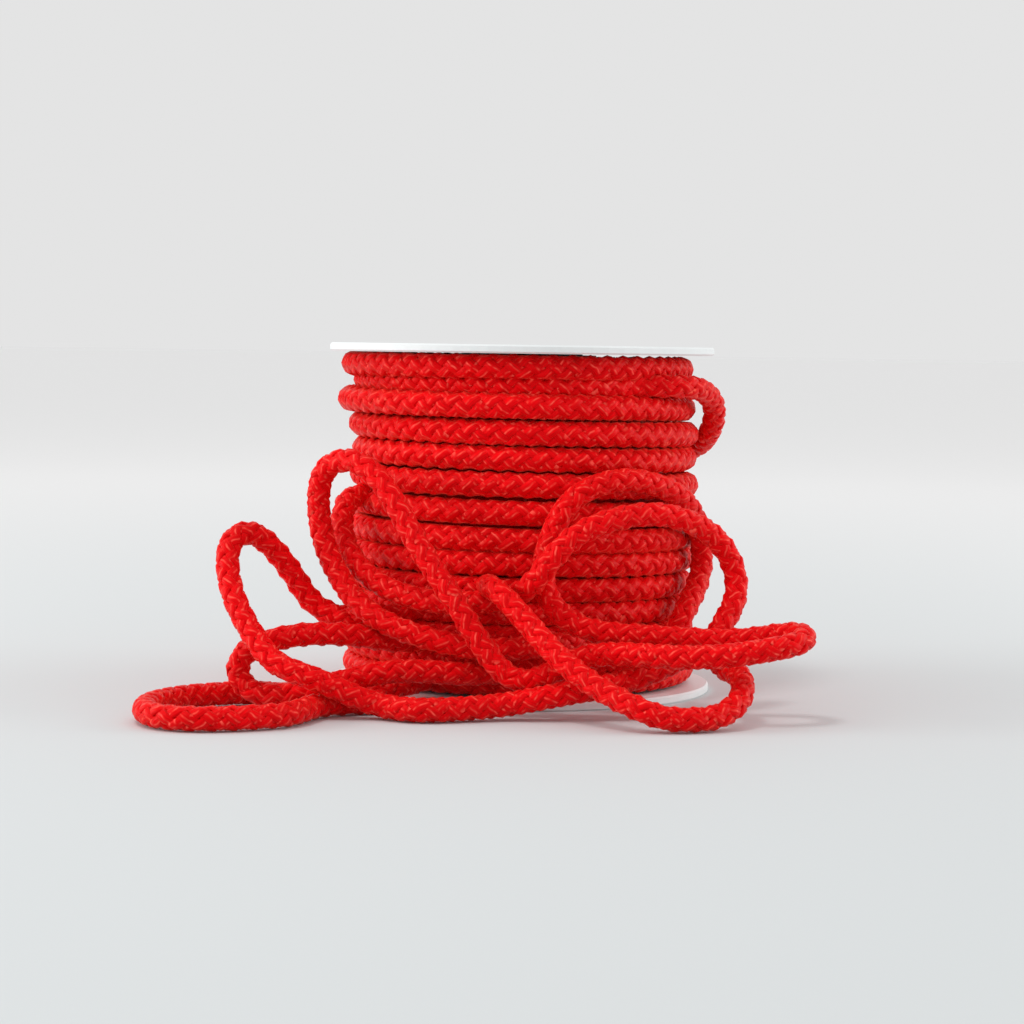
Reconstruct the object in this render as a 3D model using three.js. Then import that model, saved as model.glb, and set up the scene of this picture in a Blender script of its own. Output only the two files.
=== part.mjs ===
// Spool of braided cord with its loose end pulled off in loops.
// Units are millimetres, +Z is up. The origin is the centre of the bottom flange's underside,
// which stands on the floor. The front of the object, where the loops lie, faces -Y.

import * as THREE from "three";

// Driving dimensions of the spool.
const flangeRadius = 46.5;
const flangeThickness = 2.0;
const flangeEdgeRound = 0.4;
const spoolHeight = 83.2;
const coreOuterRadius = 18.0;
const coreWall = 3.0;
const collarWall = 2.7;
const collarDepth = 8.0;

// Driving dimensions of the cord.
const cordRadius = 2.75;
const windingOuterRadius = 42.5;

// Every two solids that touch on the real object stand this far apart here.
const gap = 0.3;

// How finely the round shapes are cut.
const roundSegments = 72;
const cordSides = 8;
const cordStep = 15.0;

const plasticWhite = new THREE.MeshStandardMaterial({ color: 0xeeecec, roughness: 0.4, metalness: 0 });
const cordRed = new THREE.MeshStandardMaterial({ color: 0xd80a16, roughness: 0.75, metalness: 0 });

const coreInnerRadius = coreOuterRadius - coreWall;
const collarOuterRadius = coreInnerRadius - gap;
const boreRadius = collarOuterRadius - collarWall;
const coreBottom = flangeThickness + gap;
const coreTop = spoolHeight - flangeThickness - gap;

// A named solid of revolution about Z. The outline is a closed list of [radius, height] points.
function turned(name, outline, material) {
  const points = outline.map(([radius, height]) => new THREE.Vector2(radius, height));
  points.push(points[0].clone());
  const geometry = new THREE.LatheGeometry(points, roundSegments);
  geometry.rotateX(Math.PI / 2);
  const mesh = new THREE.Mesh(geometry, material);
  mesh.name = name;
  return mesh;
}

// A flange is a thin disc with a collar that plugs into the end of the core tube.
// faceHeight is the outer face, and inward is +1 when the spool lies above that face, -1 below it.
function flange(name, faceHeight, inward) {
  const at = (depth) => faceHeight + inward * depth;
  const outline = [
    [boreRadius, at(0)],
    [flangeRadius - flangeEdgeRound, at(0)],
    [flangeRadius, at(flangeEdgeRound)],
    [flangeRadius, at(flangeThickness - flangeEdgeRound)],
    [flangeRadius - flangeEdgeRound, at(flangeThickness)],
    [collarOuterRadius, at(flangeThickness)],
    [collarOuterRadius, at(flangeThickness + collarDepth)],
    [boreRadius, at(flangeThickness + collarDepth)],
  ];
  return turned(name, inward > 0 ? outline : outline.reverse(), plasticWhite);
}

// The tube that the cord is wound on, standing between the two flanges.
function coreTube() {
  return turned("core_tube", [
    [coreInnerRadius, coreBottom],
    [coreOuterRadius, coreBottom],
    [coreOuterRadius, coreTop],
    [coreInnerRadius, coreTop],
  ], plasticWhite);
}

// The outer shape of all the wound turns, as one solid ring round the core.
function cordWinding() {
  const edge = cordRadius * 0.6;
  return turned("cord_winding", [
    [coreOuterRadius + gap, coreBottom],
    [windingOuterRadius - edge, coreBottom],
    [windingOuterRadius, coreBottom + edge],
    [windingOuterRadius, coreTop - edge],
    [windingOuterRadius - edge, coreTop],
    [coreOuterRadius + gap, coreTop],
  ], cordRed);
}

// A loose stretch of the cord: a plain round tube along a smooth line through the given points.
function looseCord(name, route) {
  const line = new THREE.CatmullRomCurve3(route.map((p) => new THREE.Vector3(...p)), false, "centripetal");
  const section = new THREE.Shape();
  for (let side = 0; side < cordSides; side += 1) {
    const angle = (2 * Math.PI * (side + 0.5)) / cordSides;
    const x = cordRadius * Math.cos(angle);
    const y = cordRadius * Math.sin(angle);
    if (side === 0) {
      section.moveTo(x, y);
    } else {
      section.lineTo(x, y);
    }
  }
  section.closePath();
  const geometry = new THREE.ExtrudeGeometry(section, {
    steps: Math.round(line.getLength() / cordStep),
    extrudePath: line,
    bevelEnabled: false,
  });
  const mesh = new THREE.Mesh(geometry, cordRed);
  mesh.name = name;
  return mesh;
}

// A turn near the top has slipped outwards on the right and hangs as a short loop beside the winding.
const slippedLoop = [
  [36.1, -29.5, 74.3], [40.3, -21.6, 73.8], [44.1, -13, 72.2], [46.3, -7, 69.4], [46.7, -3, 66],
  [45.9, 3, 62.4], [44.4, 12, 59.4], [41.5, 20, 57.5], [38.2, 27, 56.5],
];

// Off the right of the winding, up and over its front in a tall loop, out along the right, round the
// far right bend and back under the crossing strands.
const rightLoop = [
  [39.3, -24.8, 22.1], [41.7, -19.5, 25.9], [43.3, -15.5, 30.3], [43.6, -14.4, 34.9], [42.6, -17, 39.9],
  [39.9, -23, 45.5], [36.2, -28.6, 49.1], [31, -34, 51.5], [25.5, -38.5, 52.7], [19.9, -42, 52.3],
  [14.8, -44, 50.5], [10.8, -45, 47.3], [8.3, -45.6, 43.2], [6.6, -45.8, 38.5], [5.3, -46.2, 33.3],
  [5.6, -47.5, 28.4], [8.3, -49, 23.6], [13.8, -51, 20], [21.6, -52.5, 18.7], [30.6, -53, 18.3],
  [40.7, -53, 17.7], [50.7, -53.5, 17.9], [58.5, -54, 19.2], [62.6, -57.5, 19.8], [63.4, -61.8, 19.4],
  [61, -66.3, 18.5], [54.9, -68.5, 17.4], [47.2, -69, 16.2], [38.6, -67.8, 15.4], [30, -64.5, 15.2],
  [22.5, -60.5, 15.1], [15.9, -57.5, 14.2], [10.4, -56.5, 12],
];

// The same run going on: up across the front to the peak of the tall left loop, down its outer side
// and along the front.
const leftLoop = [
  [6.7, -56.3, 9.9], [2.7, -56.5, 8.1], [-1.4, -56.7, 8.7], [-5.4, -56.5, 12.2], [-9.1, -56, 17.3],
  [-12.5, -55.3, 22.8], [-16, -54, 28], [-19.7, -52.5, 33.2], [-23.4, -50.8, 38.8], [-26.7, -49, 44.3],
  [-30, -46.8, 49.8], [-33.8, -44, 53.9], [-37.9, -40.5, 56.2], [-42, -36.5, 56], [-45.2, -34, 54],
  [-46.5, -33, 50.2], [-46.7, -32.5, 45.5], [-46, -33, 39.8], [-44, -34.5, 33.9], [-41.2, -37, 29.1],
  [-37.8, -40.3, 24.8], [-32.7, -43.8, 20.9], [-25.8, -46.3, 18], [-16.6, -48, 15.7], [-6.4, -48.5, 14.3],
  [2.6, -47.8, 14.7],
];

// Off the left of the winding, low across the front, over the wide right-hand loop, round a small loop
// on the floor at the front right and back up to the front of the winding.
const wideLoop = [
  [-41.2, -22.5, 44.8], [-41.9, -24.5, 40.9], [-40.8, -27.5, 36.5], [-38.4, -31.2, 32.8],
  [-34.4, -35.6, 29.3], [-28.9, -40, 26.5], [-21.4, -43.6, 24.9], [-12.3, -45.7, 24.5], [-3.2, -46.6, 25.7],
  [2.4, -52, 29.1], [6.1, -54.9, 34.1], [9.8, -54.8, 38.7], [15.1, -53.8, 42.3], [22.4, -51, 44.7],
  [30.4, -47.5, 45.5], [37.4, -43.5, 44], [43.2, -39.5, 41.1], [47.2, -37, 37], [49.4, -36.3, 32.6],
  [50.1, -37.3, 28.3], [48.8, -40.5, 23.8], [46.1, -43.2, 19.7], [44.4, -45.2, 15.9], [45.1, -46.6, 12.3],
  [47.2, -50.8, 10.6], [49.1, -56.5, 10.5], [49.7, -62.5, 8.8], [49, -67, 6.5], [46.7, -71, 4.6],
  [42.7, -74.5, 3.1], [37.6, -77, 3], [31.9, -78, 3.2], [25.9, -77.3, 5.2], [20.4, -73, 7.3],
  [14.6, -68.5, 10.4], [9.1, -64.5, 14.3], [4, -60.5, 19.3], [-0.7, -57, 24.2], [-4.5, -54.3, 27.9],
  [-7.6, -52.2, 29.9],
];

// Off the lower right of the winding, along the floor in front, up over the far left loop and back.
const frontLoop = [
  [35.6, -29.5, 12.7], [37.3, -36.5, 13], [37.3, -43.5, 13.1], [35.8, -50, 12.7], [32.2, -54.5, 11.4],
  [27.2, -57.5, 9.8], [20.9, -59.5, 8], [13.7, -61.3, 6.8], [6, -62.3, 5.4], [-2.8, -61.8, 3.6],
  [-12.7, -65.1, 3], [-22.5, -67.8, 3], [-30.5, -62.5, 3.2], [-36.6, -63.5, 5.4], [-42.3, -64.3, 8.1],
  [-48.1, -64.5, 10.2], [-53.1, -63, 11.9], [-56.8, -60.8, 15.1], [-60, -58, 19.4], [-63.1, -54.7, 24.2],
  [-65.1, -51.5, 29.1], [-66, -48.5, 33.8], [-65.7, -46, 37.4], [-63.5, -43.3, 39.7], [-60.3, -40.5, 39.2],
  [-57.1, -38, 36.3], [-54, -36, 32.3], [-51.1, -34.3, 27.8], [-48.4, -33.3, 23.5], [-44.2, -33.5, 20.6],
  [-39, -34.8, 19.6], [-34.6, -35.5, 20],
];

// Off the lower left of the winding, out to a small standing loop and back along the front.
const smallLoop = [
  [-26.8, -38, 14.8], [-29.9, -40, 15.2], [-34.4, -42.3, 16.1], [-39.5, -44.8, 16.9], [-45, -47.5, 17.3],
  [-50.2, -49.8, 17.1], [-55.3, -51.3, 16.1], [-59.3, -51.6, 14.9], [-62.3, -51.4, 12.4], [-63.5, -51.2, 9.3],
  [-62.4, -51.5, 6.2], [-59.3, -52.4, 4.3], [-55, -53.4, 3.9], [-50, -54.2, 4.4], [-44.8, -54.5, 5.8],
  [-38.1, -54, 7.6],
  [-31, -52.8, 9.2], [-22.1, -51, 9.5], [-13.1, -49, 8.7],
];

// Off the bottom turn, over the flange, round a flat loop on the floor to the left, to the cord's end.
const floorLoop = [
  [-25, -41.2, 5.4], [-31, -45.8, 3.9], [-39, -46.6, 2.9], [-48, -44.8, 2.9], [-63.5, -42.1, 2.9],
  [-68.9, -45.4, 2.9], [-74.1, -49.5, 2.9], [-78.4, -56, 2.9], [-81.2, -64.8, 2.9], [-80.7, -75.3, 2.9],
  [-76.9, -82.8, 2.9], [-70.7, -86, 2.9], [-63.3, -85.2, 2.9], [-56.2, -82.2, 2.9], [-50.6, -78.3, 2.9],
  [-47.6, -72.3, 2.9], [-45.8, -66, 2.9], [-43.3, -60.7, 2.9], [-39.5, -57.5, 2.9], [-34.5, -55.2, 2.9],
  [-30, -54.3, 2.9],
];

const spool = new THREE.Group();
spool.name = "cord_spool";
spool.add(flange("bottom_flange", 0, 1));
spool.add(flange("top_flange", spoolHeight, -1));
spool.add(coreTube());
spool.add(cordWinding());
spool.add(looseCord("cord_slipped_loop", slippedLoop));
spool.add(looseCord("cord_right_loop", rightLoop));
spool.add(looseCord("cord_left_loop", leftLoop));
spool.add(looseCord("cord_wide_loop", wideLoop));
spool.add(looseCord("cord_front_loop", frontLoop));
spool.add(looseCord("cord_small_loop", smallLoop));
spool.add(looseCord("cord_floor_loop", floorLoop));

export default spool;
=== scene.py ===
"""A white flanged spool of red braided cord, standing on its flange, with loose loops in front.

Units are metres. The origin is the centre of the bottom flange's underside, +Z is up and the
front, where the loops lie, faces -Y.
"""

import math

import bpy
import numpy as np
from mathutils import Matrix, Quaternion, Vector


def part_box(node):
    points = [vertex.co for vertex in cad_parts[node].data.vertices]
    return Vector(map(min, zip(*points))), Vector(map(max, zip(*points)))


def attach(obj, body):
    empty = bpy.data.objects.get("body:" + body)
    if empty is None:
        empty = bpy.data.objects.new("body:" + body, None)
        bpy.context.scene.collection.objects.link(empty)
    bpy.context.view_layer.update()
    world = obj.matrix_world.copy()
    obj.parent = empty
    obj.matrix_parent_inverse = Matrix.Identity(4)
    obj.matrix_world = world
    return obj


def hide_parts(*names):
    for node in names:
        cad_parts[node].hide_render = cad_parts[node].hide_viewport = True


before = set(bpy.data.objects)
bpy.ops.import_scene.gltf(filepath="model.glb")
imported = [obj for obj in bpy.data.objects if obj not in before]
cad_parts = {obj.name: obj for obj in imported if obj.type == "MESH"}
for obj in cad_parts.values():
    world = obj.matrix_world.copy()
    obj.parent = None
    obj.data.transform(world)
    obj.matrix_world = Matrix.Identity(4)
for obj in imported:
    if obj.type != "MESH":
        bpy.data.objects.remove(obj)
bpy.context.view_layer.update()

MM = 0.001

# The cord: its diameter, and how its flattened strands are braided over a filler.
CORD_DIAMETER = 5.5 * MM
STRANDS_EACH_WAY = 4
BRAID_LEAD = 18.0 * MM
RINGS_PER_LEAD = 16
BRAID_STEP = BRAID_LEAD / RINGS_PER_LEAD
STRAND_RING = 1.78 * MM
STRAND_WAVE = 0.38 * MM
STRAND_HALF_WIDTH = 1.26 * MM
STRAND_HALF_THICKNESS = 0.66 * MM
FILLER_RADIUS = 1.85 * MM

# How much wider than a taut braid its strands spread: most where turns are pressed together.
WOUND_SPREAD = 1.18
LOOSE_SPREAD = 1.05

# How many sides the tubes of the meshes have.
WOUND_STRAND_SIDES = 6
LOOSE_STRAND_SIDES = 8
FILLER_SIDES = 6
INNER_LAYER_SIDES = 8

# The winding: four layers. Only the outermost shows, so the others are plain tubes.
CORE_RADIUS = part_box("core_tube")[1][0]
WINDING_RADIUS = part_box("cord_winding")[1][0]
WINDING_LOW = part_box("cord_winding")[0][2]
WINDING_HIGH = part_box("cord_winding")[1][2]
LOWEST_TURN = WINDING_LOW + CORD_DIAMETER / 2
HIGHEST_TURN = WINDING_HIGH - CORD_DIAMETER / 2
INNER_LAYERS = 3
INNER_TURNS = 12
INNER_POINTS_PER_TURN = 48
INNER_STEP = 4 * MM
OUTER_LAYER_RADIUS = WINDING_RADIUS - CORD_DIAMETER / 2
OUTER_POINTS_PER_TURN = 96
OUTER_KEPT_EVERY = 6

# The outer layer: its unevenness, how far its topmost turn is pressed up to the flange, how deep
# both its ends dip out of sight, and over what part of a turn they do so.
TURN_JITTER = 0.16 * MM
JITTERS_PER_TURN = 7
JITTER_SEED = 11
PRESSED_HOME = 0.3 * MM
TUCKED_IN = 6.5 * MM
TUCK_TURNS = 0.14

# Of each turn's way down, this share is kept for the half turn round the back; the rest is even.
DROP_AT_BACK = 0.45

# Each turn of the outer layer where it crosses the front, from the top down: its height, how far it
# lies outside the layer's usual radius, and how far it has shifted to the right, in millimetres.
OUTER_TURNS_MM = [
    (78.3, -0.1, -1.1), (73.8, -2.2, 0.2), (69.2, 0.9, -1.4), (63.1, -0.4, 0.9), (57.2, -0.9, 0.9),
    (51.0, -0.5, 0.9), (44.6, -0.4, 1.0), (38.5, -0.1, 0.8), (33.1, -0.4, 0.3), (27.2, -0.6, 0.0),
    (21.8, -0.4, -0.3), (16.3, -0.2, 0.0), (10.8, -0.3, 0.0), (5.4, 0.0, 0.0),
]


# ---------------------------------------------------------------- camera

CAMERA_PLACE = (-0.0019, -0.650, 0.0822)
CAMERA_PITCH_DOWN = math.radians(3.487)
CAMERA_ROLL = math.radians(0.83)
CAMERA_LENS = 94.0


def make_camera():
    data = bpy.data.cameras.new("camera")
    data.lens = CAMERA_LENS
    data.sensor_width = 36.0
    data.clip_start = 0.01
    camera = bpy.data.objects.new("camera", data)
    bpy.context.scene.collection.objects.link(camera)
    camera.location = CAMERA_PLACE
    camera.rotation_mode = "QUATERNION"
    level = Quaternion((1, 0, 0), math.pi / 2 - CAMERA_PITCH_DOWN)
    camera.rotation_quaternion = level @ Quaternion((0, 0, 1), CAMERA_ROLL)
    bpy.context.scene.camera = camera


# ---------------------------------------------------------------- routes of the cord

# The loose stretches, in millimetres. Those that go back into the winding start or end inside it.
SLIPPED_LOOP = [
    (20, -30, 73.9), (28, -27.5, 74.1), (35.5, -25.5, 74.1), (40.3, -21.6, 73.8), (44.1, -13, 72.2),
    (46.3, -7, 69.4), (46.7, -3, 66), (45.9, 3, 62.4), (44.4, 12, 59.4), (41.5, 20, 57.5),
    (38.2, 27, 56.5), (34.5, 29.8, 56.2), (28.5, 28.8, 56), (22, 26, 56),
]

RIGHT_LOOP = [
    (27, -24, 13), (33.5, -25.5, 14.5), (37, -27.2, 17.5), (39.3, -24.8, 22.1), (41.7, -19.5, 25.9),
    (43.3, -15.5, 30.3), (43.6, -14.4, 34.9), (42.6, -17, 39.9), (39.9, -23, 45.5), (36.2, -28.6, 49.1),
    (31, -34, 51.5), (25.5, -38.5, 52.7), (19.9, -42, 52.3), (14.8, -44, 50.5), (10.8, -45, 47.3),
    (8.3, -45.6, 43.2), (6.6, -45.8, 38.5), (5.3, -46.2, 33.3), (5.6, -47.5, 28.4), (8.3, -49, 23.6),
    (13.8, -51, 20), (21.6, -52.5, 18.7), (30.6, -53, 18.3), (40.7, -53, 17.7), (50.7, -53.5, 17.9),
    (58.5, -54, 19.2), (62.6, -57.5, 19.8), (63.4, -61.8, 19.4), (61, -66.3, 18.5), (54.9, -68.5, 17.4),
    (47.2, -69, 16.2), (38.6, -67.8, 15.4), (30, -64.5, 15.2), (22.5, -60.5, 15.1), (15.9, -57.5, 14.2),
    (10.4, -56.5, 12),
]

LEFT_LOOP = [
    (6.7, -56.3, 9.9), (2.7, -56.5, 8.1), (-1.4, -56.7, 8.7), (-5.4, -56.5, 12.2), (-9.1, -56, 17.3),
    (-12.5, -55.3, 22.8), (-16, -54, 28), (-19.7, -52.5, 33.2), (-23.4, -50.8, 38.8),
    (-26.7, -49, 44.3), (-30, -46.8, 49.8), (-33.8, -44, 53.9), (-37.9, -40.5, 56.2), (-42, -36.5, 56),
    (-45.2, -34, 54), (-46.5, -33, 50.2), (-46.7, -32.5, 45.5), (-46, -33, 39.8), (-44, -34.5, 33.9),
    (-41.2, -37, 29.1), (-37.8, -40.3, 24.8), (-32.7, -43.8, 20.9), (-25.8, -46.3, 18),
    (-16.6, -48, 15.7), (-6.4, -48.5, 14.3), (2.6, -47.8, 14.7), (10, -43, 15.2), (16, -37, 15.5),
]

WIDE_LOOP = [
    (-30, -12, 47), (-36.5, -14.5, 47.2), (-40, -18.5, 46.6), (-41.2, -22.5, 44.8),
    (-41.9, -24.5, 40.9), (-40.8, -27.5, 36.5), (-38.4, -31.2, 32.8), (-34.4, -35.6, 29.3),
    (-28.9, -40, 26.5), (-21.4, -43.6, 24.9), (-12.3, -45.7, 24.5), (-3.2, -46.6, 25.7),
    (2.4, -52, 29.1), (6.1, -54.9, 34.1), (9.8, -54.8, 38.7), (15.1, -53.8, 42.3), (22.4, -51, 44.7),
    (30.4, -47.5, 45.5), (37.4, -43.5, 44), (43.2, -39.5, 41.1), (47.2, -37, 37), (49.4, -36.3, 32.6),
    (50.1, -37.3, 28.3), (48.8, -40.5, 23.8), (46.1, -43.2, 19.7), (44.4, -45.2, 15.9),
    (45.1, -46.6, 12.3), (47.2, -50.8, 10.6), (49.1, -56.5, 10.5), (49.7, -62.5, 8.8), (49, -67, 6.5),
    (46.7, -71, 4.6), (42.7, -74.5, 3.1), (37.6, -77, 3), (31.9, -78, 3.2), (25.9, -77.3, 5.2),
    (20.4, -73, 7.3), (14.6, -68.5, 10.4), (9.1, -64.5, 14.3), (4, -60.5, 19.3), (-0.7, -57, 24.2),
    (-4.5, -54.3, 27.9), (-6.3, -50.5, 28.6), (-7, -43, 28.2), (-7.4, -36, 28),
]

FRONT_LOOP = [
    (26, -20, 12.5), (32, -23.5, 12.6), (35.6, -29.5, 12.7), (37.3, -36.5, 13), (37.3, -43.5, 13.1),
    (35.8, -50, 12.7), (32.2, -54.5, 11.4), (27.2, -57.5, 9.8), (20.9, -59.5, 8), (13.7, -61.3, 6.8),
    (6, -62.3, 5.4), (-2.8, -61.8, 3.6), (-12.7, -65.1, 3), (-22.5, -67.8, 3), (-30.5, -62.5, 3.2),
    (-36.6, -63.5, 5.4), (-42.3, -64.3, 8.1), (-48.1, -64.5, 10.2), (-53.1, -63, 11.9),
    (-56.8, -60.8, 15.1), (-60, -58, 19.4), (-63.1, -54.7, 24.2), (-65.1, -51.5, 29.1),
    (-66, -48.5, 33.8), (-65.7, -46, 37.4), (-63.5, -43.3, 39.7), (-60.3, -40.5, 39.2),
    (-57.1, -38, 36.3), (-54, -36, 32.3), (-51.1, -34.3, 27.8), (-48.4, -33.3, 23.5),
    (-44.2, -33.5, 20.6), (-39, -34.8, 19.6), (-34.6, -35.5, 20), (-29.5, -33.5, 20.3),
    (-23, -30, 20.5),
]

SMALL_LOOP = [
    (-18, -31, 14.6), (-22.5, -34, 14.7), (-26.8, -38, 14.8), (-29.9, -40, 15.2), (-34.4, -42.3, 16.1),
    (-39.5, -44.8, 16.9), (-45, -47.5, 17.3), (-50.2, -49.8, 17.1), (-55.3, -51.3, 16.1),
    (-59.3, -51.6, 14.9), (-62.3, -51.4, 12.4), (-63.5, -51.2, 9.3), (-62.4, -51.5, 6.2),
    (-59.3, -52.4, 4.3), (-55, -53.4, 3.9), (-50, -54.2, 4.4), (-44.8, -54.5, 5.8), (-38.1, -54, 7.6),
    (-31, -52.8, 9.2), (-22.1, -51, 9.5), (-13.1, -49, 8.7), (-5, -44, 8.5), (3, -38.5, 8.5),
]

FLOOR_LOOP = [
    (-14, -31, 6.5), (-19.5, -36, 6.3), (-25, -41.2, 5.4), (-31, -45.8, 3.9), (-39, -46.6, 2.9),
    (-48, -44.8, 2.9), (-63.5, -42.1, 2.9), (-68.9, -45.4, 2.9), (-74.1, -49.5, 2.9), (-78.4, -56, 2.9),
    (-81.2, -64.8, 2.9), (-80.7, -75.3, 2.9), (-76.9, -82.8, 2.9), (-70.7, -86, 2.9),
    (-63.3, -85.2, 2.9), (-56.2, -82.2, 2.9), (-50.6, -78.3, 2.9), (-47.6, -72.3, 2.9),
    (-45.8, -66, 2.9), (-43.3, -60.7, 2.9), (-39.5, -57.5, 2.9), (-34.5, -55.2, 2.9), (-30, -54.3, 2.9),
]


def smooth_line(points, per_span=24):
    """A centripetal Catmull-Rom line through the points."""
    p = np.array(points, float)
    p = np.vstack([2 * p[0] - p[1], p, 2 * p[-1] - p[-2]])
    out = []
    for a, b, c, d in zip(p[:-3], p[1:-2], p[2:-1], p[3:]):
        t1 = np.linalg.norm(b - a) ** 0.5
        t2 = t1 + np.linalg.norm(c - b) ** 0.5
        t3 = t2 + np.linalg.norm(d - c) ** 0.5
        t = np.linspace(t1, t2, per_span, endpoint=False)[:, None]
        ab = (t1 - t) / t1 * a + t / t1 * b
        bc = (t2 - t) / (t2 - t1) * b + (t - t1) / (t2 - t1) * c
        cd = (t3 - t) / (t3 - t2) * c + (t - t2) / (t3 - t2) * d
        abc = (t2 - t) / t2 * ab + t / t2 * bc
        bcd = (t3 - t) / (t3 - t1) * bc + (t - t1) / (t3 - t1) * cd
        out.append((t2 - t) / (t2 - t1) * abc + (t - t1) / (t2 - t1) * bcd)
    return np.vstack(out + [p[-2]])


def evenly(line, step):
    """The line again, with its points a step apart."""
    along = np.concatenate([[0], np.cumsum(np.linalg.norm(np.diff(line, axis=0), axis=1))])
    at = np.linspace(0, along[-1], max(2, round(along[-1] / step)) + 1)
    return np.stack([np.interp(at, along, line[:, k]) for k in range(3)], axis=1)


def relaxed(line, reach=4):
    """The line with its sharpest bends eased and its ends kept."""
    weights = np.hanning(2 * reach + 3)[1:-1]
    weights /= weights.sum()
    before = 2 * line[0] - line[reach:0:-1]
    beyond = 2 * line[-1] - line[-2:-reach - 2:-1]
    longer = np.vstack([before, line, beyond])
    return np.stack([np.convolve(longer[:, k], weights, "valid") for k in range(3)], axis=1)


def length_of(line):
    return float(np.linalg.norm(np.diff(line, axis=0), axis=1).sum())


def smoothstep(part):
    return part * part * (3 - 2 * part)


def inner_layer_line(layer):
    """A plain helix on the core: the first layer is wound upwards, the next downwards, and so on."""
    layer_depth = (WINDING_RADIUS - CORE_RADIUS) / (INNER_LAYERS + 1)
    radius = CORE_RADIUS + (layer + 0.5) * layer_depth
    turn = np.linspace(0, INNER_TURNS, INNER_TURNS * INNER_POINTS_PER_TURN + 1)
    height = LOWEST_TURN + (HIGHEST_TURN - LOWEST_TURN) * turn / INNER_TURNS
    if layer % 2:
        height = height[::-1]
    angle = 2 * math.pi * turn
    return np.stack([radius * np.cos(angle), radius * np.sin(angle), height], axis=1)


def outer_turns_at(turn):
    """Height, outward and sideways shift at each turn. A whole turn number is at the front."""
    whole = np.floor(turn)
    part = turn - whole
    round_back = smoothstep(np.clip((part - 0.25) / 0.5, 0, 1))
    moved = (1 - DROP_AT_BACK) * part + DROP_AT_BACK * round_back
    turns = np.array([OUTER_TURNS_MM[0]] + OUTER_TURNS_MM + [OUTER_TURNS_MM[-1]]) * MM
    at = (whole + 1).astype(int)
    after = np.minimum(at + 1, len(turns) - 1)
    return (turns[at] + (turns[after] - turns[at]) * moved[:, None]).T


def tuck_at(turn):
    """How deep each point dips: not at all, except near the first and the last."""
    to_nearer_end = np.minimum(turn - turn[0], turn[-1] - turn)
    return TUCKED_IN * smoothstep(np.clip(1 - to_nearer_end / TUCK_TURNS, 0, 1))


def outer_layer_line():
    """The outermost turns, sloping gently down across the front and more steeply round the back."""
    count = len(OUTER_TURNS_MM)
    turn = np.linspace(-0.5, count - 0.5, count * OUTER_POINTS_PER_TURN + 1)
    height, outwards, right = outer_turns_at(turn)
    random = np.random.default_rng(JITTER_SEED)
    marks = np.linspace(turn[0], turn[-1], count * JITTERS_PER_TURN)
    height = height + TURN_JITTER * np.interp(turn, marks, random.uniform(-1, 1, len(marks)))
    outwards = outwards + TURN_JITTER * np.interp(turn, marks, random.uniform(-1, 1, len(marks)))
    angle = 2 * math.pi * (turn - 0.25)
    radius = OUTER_LAYER_RADIUS + outwards - tuck_at(turn)
    x = right + radius * np.cos(angle)
    y = radius * np.sin(angle)
    z = np.clip(height, LOWEST_TURN, HIGHEST_TURN + PRESSED_HOME)
    line = np.stack([x, y, z], axis=1)
    # A smooth line through fewer points rounds off the corners that the unevenness has.
    return smooth_line(line[::OUTER_KEPT_EVERY], per_span=OUTER_KEPT_EVERY)


# ---------------------------------------------------------------- cord meshes

def unit(vectors):
    return vectors / np.linalg.norm(vectors, axis=-1, keepdims=True)


def frames_along(line):
    """Two crosswise directions at each point, carried along without twisting from a level start."""
    tangent = unit(np.gradient(line, axis=0))
    side = np.zeros_like(line)
    side[0] = unit(np.cross(tangent[0], (0.0, 0.0, 1.0)))
    for i in range(1, len(line)):
        side[i] = unit(side[i - 1] - tangent[i] * (side[i - 1] @ tangent[i]))
    return side, np.cross(tangent, side)


class MeshParts:
    """Closed tubes gathered into one mesh.

    UV map "strand" holds metres along the tube and turns round it. Each tube starts at another
    value of u, so that no two have the same pattern.
    """

    def __init__(self):
        self.points = []
        self.faces = []
        self.uvs = []
        self.count = 0

    def add_tube(self, rings):
        steps, sides = rings.shape[:2]
        index = self.count + np.arange(steps * sides).reshape(steps, sides)
        after = np.roll(index, -1, axis=1)
        quads = np.stack([index[:-1], after[:-1], after[1:], index[1:]], axis=-1).reshape(-1, 4)
        lengths = np.linalg.norm(np.diff(rings.mean(axis=1), axis=0), axis=1)
        along = self.count * MM + np.concatenate([[0], np.cumsum(lengths)])
        u0 = np.repeat(along[:-1], sides)
        u1 = np.repeat(along[1:], sides)
        v0 = np.tile(np.arange(sides) / sides, steps - 1)
        v1 = v0 + 1 / sides
        corners = [(u0, v0), (u0, v1), (u1, v1), (u1, v0)]
        self.uvs.append(np.stack([np.stack(corner, 1) for corner in corners], axis=1).reshape(-1, 2))
        self.uvs.append(np.zeros((2 * sides, 2)))
        self.points.append(rings.reshape(-1, 3))
        self.faces += quads.tolist()
        self.faces.append(index[0][::-1].tolist())
        self.faces.append(index[-1].tolist())
        self.count += steps * sides

    def to_object(self, name, material):
        mesh = bpy.data.meshes.new(name)
        mesh.from_pydata(np.vstack(self.points).tolist(), [], self.faces)
        layer = mesh.uv_layers.new(name="strand")
        layer.data.foreach_set("uv", np.vstack(self.uvs).ravel())
        mesh.polygons.foreach_set("use_smooth", np.ones(len(mesh.polygons), bool))
        mesh.materials.append(material)
        mesh.update()
        piece = bpy.data.objects.new(name, mesh)
        bpy.context.scene.collection.objects.link(piece)
        return piece


def add_plain(parts, line, radius, sides):
    """A round tube along the line."""
    side, up = frames_along(line)
    angle = 2 * math.pi * np.arange(sides) / sides
    ring = np.cos(angle)[None, :, None] * side[:, None] + np.sin(angle)[None, :, None] * up[:, None]
    parts.add_tube(line[:, None] + radius * ring)


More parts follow.
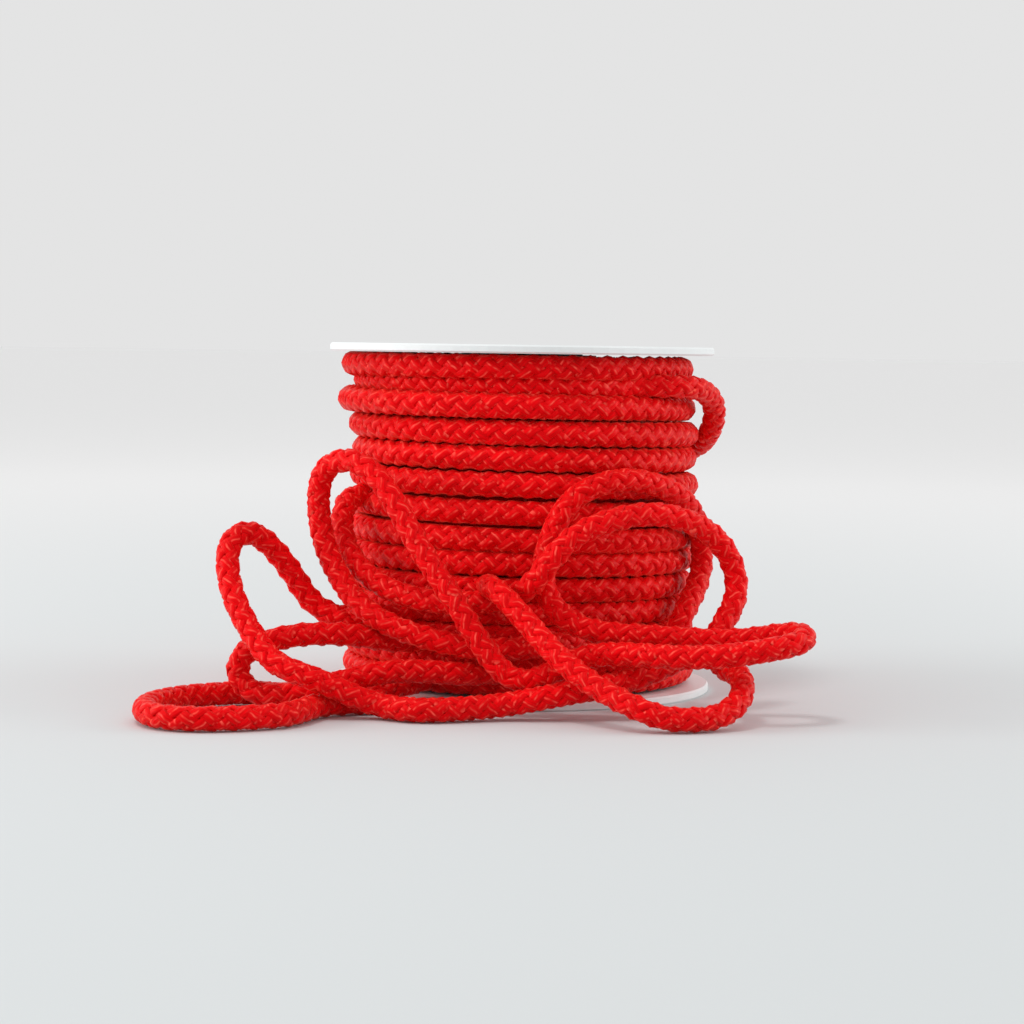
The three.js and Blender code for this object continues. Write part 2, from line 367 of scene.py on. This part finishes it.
def add_braid(parts, line, sides, spread):
    """Eight flattened strands, four each way round, each passing over one and under the next."""
    side, up = frames_along(line)
    along = np.arange(len(line)) * length_of(line) / (len(line) - 1)
    around = math.pi + 2 * math.pi * np.arange(sides) / sides
    for way in (1, -1):
        for strand in range(STRANDS_EACH_WAY):
            angle = way * 2 * math.pi * along / BRAID_LEAD + 2 * math.pi * strand / STRANDS_EACH_WAY
            ring_radius = STRAND_RING * spread + way * STRAND_WAVE * np.cos(STRANDS_EACH_WAY * angle)
            out = np.cos(angle)[:, None] * side + np.sin(angle)[:, None] * up
            middle = line + ring_radius[:, None] * out
            run = unit(np.gradient(middle, axis=0))
            out = unit(out - run * (out * run).sum(1)[:, None])
            across = np.cross(run, out)
            thick = STRAND_HALF_THICKNESS * np.cos(around)[None, :, None] * out[:, None]
            wide = spread * STRAND_HALF_WIDTH * np.sin(around)[None, :, None] * across[:, None]
            parts.add_tube(middle[:, None] + thick + wide)
    # The filler hardly shows between the strands, so every second point is enough for it.
    add_plain(parts, line[::2], FILLER_RADIUS * spread, FILLER_SIDES)


# ---------------------------------------------------------------- materials

# The span in which nearly all values of a noise lie.
NOISE_SPAN = (0.3, 0.7)

# The yarn: its deeper and lighter red, and how its fine filaments run along each strand.
REDS = ((0.70, 0.0005, 0.003, 1), (0.93, 0.001, 0.005, 1))
FILAMENT_SPAN = (0.30, 0.68)
FILAMENTS_ALONG = 260.0
FILAMENTS_ROUND = 26.0
FILAMENT_RELIEF = 0.16 * MM
FILAMENT_BUMP = 0.7
FILAMENT_ROUGHNESS = (0.46, 0.28)

# Slightly duller patches along the cord.
PATCH_SCALE = 60.0
PATCH_TONES = ((0.86, 0.80, 0.80, 1), (1, 1, 1, 1))

# A painted highlight in the colour: lighter red on the few filaments along the top of each strand.
# Widths are in turns round it.
CREST_PAINTED_HIGHLIGHT = (1.0, 0.10, 0.07, 1)
CREST_WIDTH = 0.04
CREST_WANDER = 0.16
CREST_BREAKS = 420.0
CREST_BREAK_SCALE = 1.7
CREST_BREAK_STRENGTH = (-0.3, 1.3)

CORD_GLOSS = {
    "Specular IOR Level": 0.12,
    "Specular Tint": (1.0, 0.35, 0.30, 1),
    "Sheen Weight": 0.35,
    "Sheen Roughness": 0.45,
    "Sheen Tint": (1.0, 0.12, 0.07, 1),
}

# The plastic: its discoloured and its clean white, and the fine grain of its surface.
WHITES = ((0.71, 0.735, 0.735, 1), (0.78, 0.805, 0.805, 1))
STAIN_SCALE = 35.0
STAIN_SPAN = (0.25, 0.55)
STAIN_ROUGHNESS = (0.60, 0.48)
GRAIN_SCALE = 900.0
GRAIN_RELIEF = 0.05 * MM
GRAIN_BUMP = 0.25


def new_material(name):
    material = bpy.data.materials.new(name)
    material.use_nodes = True
    return material, material.node_tree, material.node_tree.nodes["Principled BSDF"]


def feed(tree, socket, value):
    """Sets the socket to a number or a colour, or links another node's output to it."""
    if isinstance(value, bpy.types.NodeSocket):
        tree.links.new(value, socket)
    else:
        socket.default_value = value


def object_place(tree):
    return tree.nodes.new("ShaderNodeTexCoord").outputs["Object"]


def stretched(tree, vector, along, across):
    mapping = tree.nodes.new("ShaderNodeMapping")
    mapping.inputs["Scale"].default_value = (along, across, 1.0)
    tree.links.new(vector, mapping.inputs["Vector"])
    return mapping.outputs["Vector"]


def add_noise(tree, vector, scale, detail):
    noise = tree.nodes.new("ShaderNodeTexNoise")
    noise.inputs["Scale"].default_value = scale
    noise.inputs["Detail"].default_value = detail
    tree.links.new(vector, noise.inputs["Vector"])
    return noise.outputs["Fac"]


def add_ramp(tree, factor, span, colours):
    """The first colour up to the start of the span, and the second from its end."""
    ramp = tree.nodes.new("ShaderNodeValToRGB")
    for element, position, colour in zip(ramp.color_ramp.elements, span, colours):
        element.position = position
        element.color = colour
    tree.links.new(factor, ramp.inputs["Fac"])
    return ramp.outputs["Color"]


def add_range(tree, value, span):
    """A node that gives the value's place in the span: 0 at its start and 1 at its end."""
    ranged = tree.nodes.new("ShaderNodeMapRange")
    ranged.inputs["From Min"].default_value = span[0]
    ranged.inputs["From Max"].default_value = span[1]
    tree.links.new(value, ranged.inputs["Value"])
    return ranged


def add_map(tree, noise, values):
    """Noise mapped to the two values, from low to high."""
    ranged = add_range(tree, noise, NOISE_SPAN)
    ranged.inputs["To Min"].default_value = values[0]
    ranged.inputs["To Max"].default_value = values[1]
    return ranged.outputs["Result"]


def add_mix(tree, blend, factor, first, second):
    mix = tree.nodes.new("ShaderNodeMix")
    mix.data_type = "RGBA"
    mix.blend_type = blend
    feed(tree, mix.inputs["Factor"], factor)
    feed(tree, mix.inputs["A"], first)
    feed(tree, mix.inputs["B"], second)
    return mix.outputs["Result"]


def add_bump(tree, height, distance, strength, shader):
    bump = tree.nodes.new("ShaderNodeBump")
    bump.inputs["Strength"].default_value = strength
    bump.inputs["Distance"].default_value = distance
    tree.links.new(height, bump.inputs["Height"])
    tree.links.new(bump.outputs["Normal"], shader.inputs["Normal"])


def add_math(tree, operation, *values):
    node = tree.nodes.new("ShaderNodeMath")
    node.operation = operation
    for socket, value in zip(node.inputs, values):
        feed(tree, socket, value)
    return node.outputs["Value"]


def add_painted_crest_highlight(tree, uv):
    """How much a point is on the painted highlight along the few filaments at the top of a strand."""
    split = tree.nodes.new("ShaderNodeSeparateXYZ")
    tree.links.new(uv, split.inputs["Vector"])
    place = stretched(tree, uv, CREST_BREAKS, 1.0)
    wander = add_noise(tree, place, scale=1.0, detail=1.0)
    middle = add_math(tree, "MULTIPLY_ADD", wander, CREST_WANDER, 0.5 - CREST_WANDER / 2)
    away = add_math(tree, "ABSOLUTE", add_math(tree, "SUBTRACT", split.outputs["Y"], middle))
    near = add_math(tree, "SUBTRACT", 1.0, add_math(tree, "DIVIDE", away, CREST_WIDTH))
    breaks = add_noise(tree, place, scale=CREST_BREAK_SCALE, detail=1.0)
    strength = add_math(tree, "MULTIPLY", near, add_map(tree, breaks, CREST_BREAK_STRENGTH))
    strength.node.use_clamp = True
    return strength


def cord_material():
    """Red filament yarn: fine streaks along each strand, in colour, gloss and relief, and a painted
    highlight along the top of each strand.
    """
    material, tree, shader = new_material("braided cord")
    strand = tree.nodes.new("ShaderNodeUVMap")
    strand.uv_map = "strand"
    uv = strand.outputs["UV"]
    filament_place = stretched(tree, uv, FILAMENTS_ALONG, FILAMENTS_ROUND)
    filaments = add_noise(tree, filament_place, scale=1.0, detail=1.0)
    patches = add_noise(tree, object_place(tree), PATCH_SCALE, detail=2.0)
    streaks = add_ramp(tree, filaments, FILAMENT_SPAN, REDS)
    tone = add_ramp(tree, patches, NOISE_SPAN, PATCH_TONES)
    toned = add_mix(tree, "MULTIPLY", 1.0, streaks, tone)
    # The lighter red along the top of each strand is a painted highlight.
    colour = add_mix(tree, "MIX", add_painted_crest_highlight(tree, uv), toned, CREST_PAINTED_HIGHLIGHT)
    tree.links.new(colour, shader.inputs["Base Color"])
    tree.links.new(add_map(tree, filaments, FILAMENT_ROUGHNESS), shader.inputs["Roughness"])
    add_bump(tree, filaments, FILAMENT_RELIEF, FILAMENT_BUMP, shader)
    for socket, value in CORD_GLOSS.items():
        shader.inputs[socket].default_value = value
    return material


def plastic_material():
    """Moulded white plastic: slight discolouring in patches, in colour and gloss, and a fine grain."""
    material, tree, shader = new_material("white plastic")
    place = object_place(tree)
    stains = add_noise(tree, place, STAIN_SCALE, detail=3.0)
    grain = add_noise(tree, place, GRAIN_SCALE, detail=2.0)
    tree.links.new(add_ramp(tree, stains, STAIN_SPAN, WHITES), shader.inputs["Base Color"])
    tree.links.new(add_map(tree, stains, STAIN_ROUGHNESS), shader.inputs["Roughness"])
    add_bump(tree, grain, GRAIN_RELIEF, GRAIN_BUMP, shader)
    return material


# ---------------------------------------------------------------- surroundings

FLOOR_RADIUS = 40.0
FLOOR_SIDES = 64

# The floor turns from its near to its far colour over this span of metres from its middle, which lies
# in front of the spool. The darker near colour is painted shade, where the lamps light the floor most;
# the far one is pale, where only the surroundings light it.
FLOOR_PAINTED_SHADE_MIDDLE = (0.0, -0.2, 0.0)
FLOOR_SPAN = (0.1, 1.3)
FLOOR_PAINTED_SHADE_TO_PALE = ((0.62, 0.645, 0.65, 1), (0.985, 0.985, 0.985, 1))

SURROUNDING_LIGHT = 0.775

# Three soft lights: name, place, size and watts. All of them aim at the middle of the spool.
LIGHTS_AIM = (0, 0, 0.04)
LIGHTS = [
    ("left", (-0.80, -0.15, 0.24), (0.5, 0.4), 3.3),
    ("right", (0.80, 0.05, 0.24), (0.5, 0.4), 2.3),
    ("above the camera", (-0.30, -0.42, 1.05), (0.22, 0.22), 2.8),
]


def make_floor():
    """A wide pale floor with painted shade near the spool, growing lighter far away until it meets the
    pale surroundings.
    """
    mesh = bpy.data.meshes.new("floor")
    angles = [2 * math.pi * k / FLOOR_SIDES for k in range(FLOOR_SIDES)]
    points = [(FLOOR_RADIUS * math.cos(a), FLOOR_RADIUS * math.sin(a), 0.0) for a in angles]
    mesh.from_pydata(points, [], [list(range(FLOOR_SIDES))])
    material, tree, shader = new_material("floor")
    distance = tree.nodes.new("ShaderNodeVectorMath")
    distance.operation = "LENGTH"
    tree.links.new(object_place(tree), distance.inputs[0])
    outwards = add_range(tree, distance.outputs["Value"], FLOOR_SPAN)
    outwards.interpolation_type = "SMOOTHSTEP"
    # Painted shade near and in front of the spool, turning pale far away.
    shade = add_ramp(tree, outwards.outputs["Result"], (0.0, 1.0), FLOOR_PAINTED_SHADE_TO_PALE)
    tree.links.new(shade, shader.inputs["Base Color"])
    shader.inputs["Roughness"].default_value = 0.9
    shader.inputs["Specular IOR Level"].default_value = 0.1
    mesh.materials.append(material)
    floor = bpy.data.objects.new("floor", mesh)
    floor.location = FLOOR_PAINTED_SHADE_MIDDLE
    bpy.context.scene.collection.objects.link(floor)


def add_area_light(name, place, size, watts):
    data = bpy.data.lights.new(name, "AREA")
    data.shape = "RECTANGLE"
    data.size, data.size_y = size
    data.energy = watts
    light = bpy.data.objects.new(name, data)
    bpy.context.scene.collection.objects.link(light)
    light.location = place
    towards = Vector(LIGHTS_AIM) - Vector(place)
    light.rotation_euler = towards.to_track_quat("-Z", "Y").to_euler()


def make_lights():
    world = bpy.data.worlds.new("world")
    bpy.context.scene.world = world
    world.use_nodes = True
    background = world.node_tree.nodes["Background"]
    background.inputs["Color"].default_value = (1.0, 1.0, 1.0, 1)
    background.inputs["Strength"].default_value = SURROUNDING_LIGHT
    for light in LIGHTS:
        add_area_light(*light)


# ---------------------------------------------------------------- pieces of cord

def make_winding(material):
    inner = [inner_layer_line(layer) for layer in range(INNER_LAYERS)]
    outer = evenly(outer_layer_line(), BRAID_STEP)
    parts = MeshParts()
    for line in inner:
        add_plain(parts, evenly(line, INNER_STEP), CORD_DIAMETER / 2, INNER_LAYER_SIDES)
    add_braid(parts, outer, WOUND_STRAND_SIDES, WOUND_SPREAD)
    winding = parts.to_object("wound_cord", material)
    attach(winding, "root")
    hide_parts("cord_winding")


def make_loose(name, material, route, nodes):
    line = relaxed(evenly(smooth_line(np.array(route) * MM), BRAID_STEP))
    parts = MeshParts()
    add_braid(parts, line, LOOSE_STRAND_SIDES, LOOSE_SPREAD)
    piece = parts.to_object(name, material)
    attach(piece, "root")
    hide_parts(*nodes)


# ---------------------------------------------------------------- build

LOOSE_PIECES = [
    ("slipped_loop", SLIPPED_LOOP, ["cord_slipped_loop"], "object"),
    ("wide_loop", WIDE_LOOP, ["cord_wide_loop"], "object"),
    ("right_and_left_loop", RIGHT_LOOP + LEFT_LOOP, ["cord_right_loop", "cord_left_loop"], "object"),
    ("front_loop", FRONT_LOOP, ["cord_front_loop"], "object"),
    ("small_loop", SMALL_LOOP, ["cord_small_loop"], "object"),
    ("floor_loop", FLOOR_LOOP, ["cord_floor_loop"], "bare"),
]

bpy.context.scene.view_settings.view_transform = "Standard"
make_camera()

red = cord_material()
make_winding(red)
for name, route, nodes, far_end in LOOSE_PIECES:
    make_loose(name, red, route, nodes)

white = plastic_material()
for node in ("top_flange", "bottom_flange", "core_tube"):
    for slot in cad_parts[node].material_slots:
        slot.material = white

make_floor()
make_lights()
